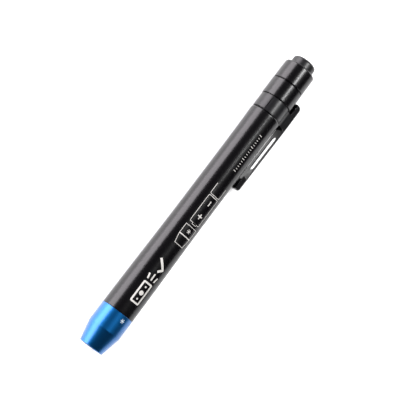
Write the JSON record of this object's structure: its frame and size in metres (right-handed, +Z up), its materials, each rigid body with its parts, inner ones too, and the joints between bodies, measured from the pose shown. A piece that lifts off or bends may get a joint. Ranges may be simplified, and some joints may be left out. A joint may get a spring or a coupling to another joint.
{
  "type": "ultraviolet counterfeit detector pen",
  "caption": "Slim ultraviolet penlight for checking banknotes: blue head, waisted black barrel, slotted pocket clip on a ring, screw tail cap with push button.",
  "frame": {"origin": "on the table the pen lies on, under the middle of its outline", "axes": "+X along the pen from the light to the button, +Z up from the table; the clip hangs down on the -Y side and its edge rests on the table"},
  "size_m": [0.1418, 0.0172, 0.014],
  "materials": {
    "blue_anodised": "satin anodised",
    "black_anodised": "satin anodised",
    "clip_black": "semi-gloss baked enamel",
    "button_black": "matte moulded",
    "seal_rubber": "matte",
    "filter_glass": "polished dark violet",
    "lens_clear": "clear silicone",
    "reflector_bright": "mirror plated",
    "white_plastic": "moulded",
    "ceramic_white": "fired ceramic",
    "bare_aluminium": "turned",
    "board_green": "solder mask",
    "chip_black": "moulded epoxy",
    "capacitor_tan": "ceramic",
    "brass": "turned",
    "spring_steel": "bright nickel plated",
    "cell_steel": "bright",
    "cell_sleeve": "printed film",
    "black_plastic": "moulded"
  },
  "bodies": {
    "barrel": {"head_shell": "blue_anodised", "window_gasket": "seal_rubber", "filter_window": "filter_glass", "reflector": "reflector_bright", "centring_ring": "white_plastic", "led_package": "ceramic_white", "led_lens": "lens_clear", "led_board": "bare_aluminium", "led_holder": "brass", "lead_pins": "brass", "driver_board": "board_green", "driver_chip": "chip_black", "driver_inductor": "chip_black", "driver_capacitors": "capacitor_tan", "board_retainer": "brass", "contact_washer": "white_plastic", "front_contact": "brass", "head_oring": "seal_rubber", "barrel_tube": "black_anodised", "front_cell_can": "cell_steel", "front_cell_terminal": "cell_steel", "front_cell_sleeve": "cell_sleeve", "rear_cell_can": "cell_steel", "rear_cell_terminal": "cell_steel", "rear_cell_sleeve": "cell_sleeve"},
    "neck_seal": {"neck_oring": "seal_rubber"},
    "clip": {"pocket_clip": "clip_black"},
    "tail_cap": {"tail_collar": "black_anodised", "end_cap": "black_anodised", "cap_oring": "seal_rubber", "button_seal": "seal_rubber", "switch_housing": "black_plastic", "switch_board": "board_green", "ground_ring": "brass", "fixed_contacts": "brass", "plunger_spring": "spring_steel", "contact_spring": "spring_steel"},
    "push_button": {"button": "button_black", "switch_plunger": "white_plastic", "moving_contact": "brass"}
  },
  "joints": [
    {"name": "cap_travel", "type": "slide", "parent": "barrel", "child": "neck_seal", "axis": [1, 0, 0], "range_m": [0, 0.0045], "deforming": ["contact_spring"]},
    {"name": "cap_turn", "type": "hinge", "parent": "neck_seal", "child": "tail_cap", "pos_m": [0.05033, 0.00165, 0.007], "axis": [1, 0, 0], "range_deg": [0, 2160]},
    {"name": "clip_swivel", "type": "hinge", "parent": "neck_seal", "child": "clip", "pos_m": [0.04698, 0.00165, 0.007], "axis": [1, 0, 0], "continuous": true},
    {"name": "button_press", "type": "slide", "parent": "tail_cap", "child": "push_button", "axis": [-1, 0, 0], "range_m": [0, 0.0016], "stiffness_N_per_m": 2000, "springref_m": -0.0005, "deforming": ["plunger_spring"]}
  ],
  "couplings": [
    {"joint": "cap_turn", "follows": "cap_travel", "rad_per_m": 8377.6}
  ]
}
